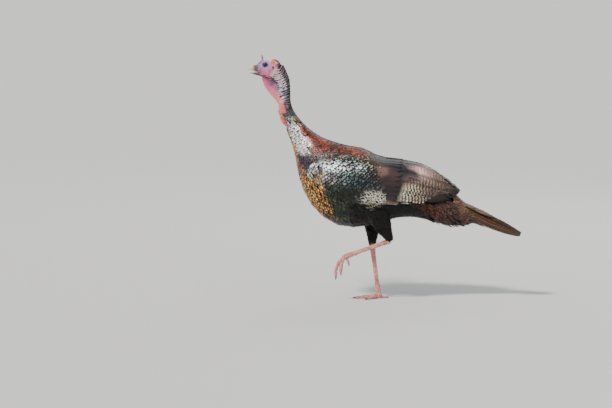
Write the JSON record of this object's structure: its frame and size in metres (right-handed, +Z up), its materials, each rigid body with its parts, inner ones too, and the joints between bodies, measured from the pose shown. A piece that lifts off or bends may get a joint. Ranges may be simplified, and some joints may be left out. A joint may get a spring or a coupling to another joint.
{
  "type": "wild turkey",
  "caption": "Life-size still model of a young male wild turkey walking, one leg lifted, head up and bill a little open.",
  "frame": {"origin": "on the floor, under the middle of the model's length and width", "axes": "+Z up, -X the way the bird faces, -Y its left side, which has the lifted leg"},
  "size_m": [0.8791, 0.2522, 0.7872],
  "materials": {
    "face_skin": "bare wrinkled skin, lavender, pink and blue-grey",
    "neck_skin": "bare wrinkled skin, pale with dark folds",
    "red_skin": "fleshy coral-red skin",
    "throat_skin": "thin rose-pink skin",
    "body_feather": "iridescent bronze, copper and green-black feathers with black edges",
    "wing_feather": "bronze-brown coverts, black and white barred quills",
    "tail_feather": "chestnut-brown feathers with fine dark bars",
    "thigh_feather": "soft black-brown feathers",
    "horn": "satin pale horn",
    "claw": "satin dark horn",
    "leg_scale": "overlapping horny scales, pink",
    "eye": "wet dark brown",
    "tongue": "moist pink skin"
  },
  "bodies": {
    "root": {"head": "face_skin", "eye_left": "eye", "eye_right": "eye", "bill_upper": "horn", "bill_lower": "horn", "tongue": "tongue", "snood": "red_skin", "dewlap": "throat_skin", "caruncles": "red_skin", "neck_upper": "neck_skin", "neck_lower": "body_feather", "trunk": "body_feather", "rump": "tail_feather", "tail": "tail_feather", "wing_left": "wing_feather", "wing_right": "wing_feather", "thigh_left": "thigh_feather", "thigh_right": "thigh_feather", "shank_left": "leg_scale", "shank_right": "leg_scale", "spur_left": "horn", "spur_right": "horn", "toe_left_middle": "leg_scale", "toe_left_inner": "leg_scale", "toe_left_outer": "leg_scale", "toe_left_hind": "leg_scale", "toe_right_middle": "leg_scale", "toe_right_inner": "leg_scale", "toe_right_outer": "leg_scale", "toe_right_hind": "leg_scale", "claw_left_middle": "claw", "claw_left_inner": "claw", "claw_left_outer": "claw", "claw_left_hind": "claw", "claw_right_middle": "claw", "claw_right_inner": "claw", "claw_right_outer": "claw", "claw_right_hind": "claw"}
  },
  "joints": []
}
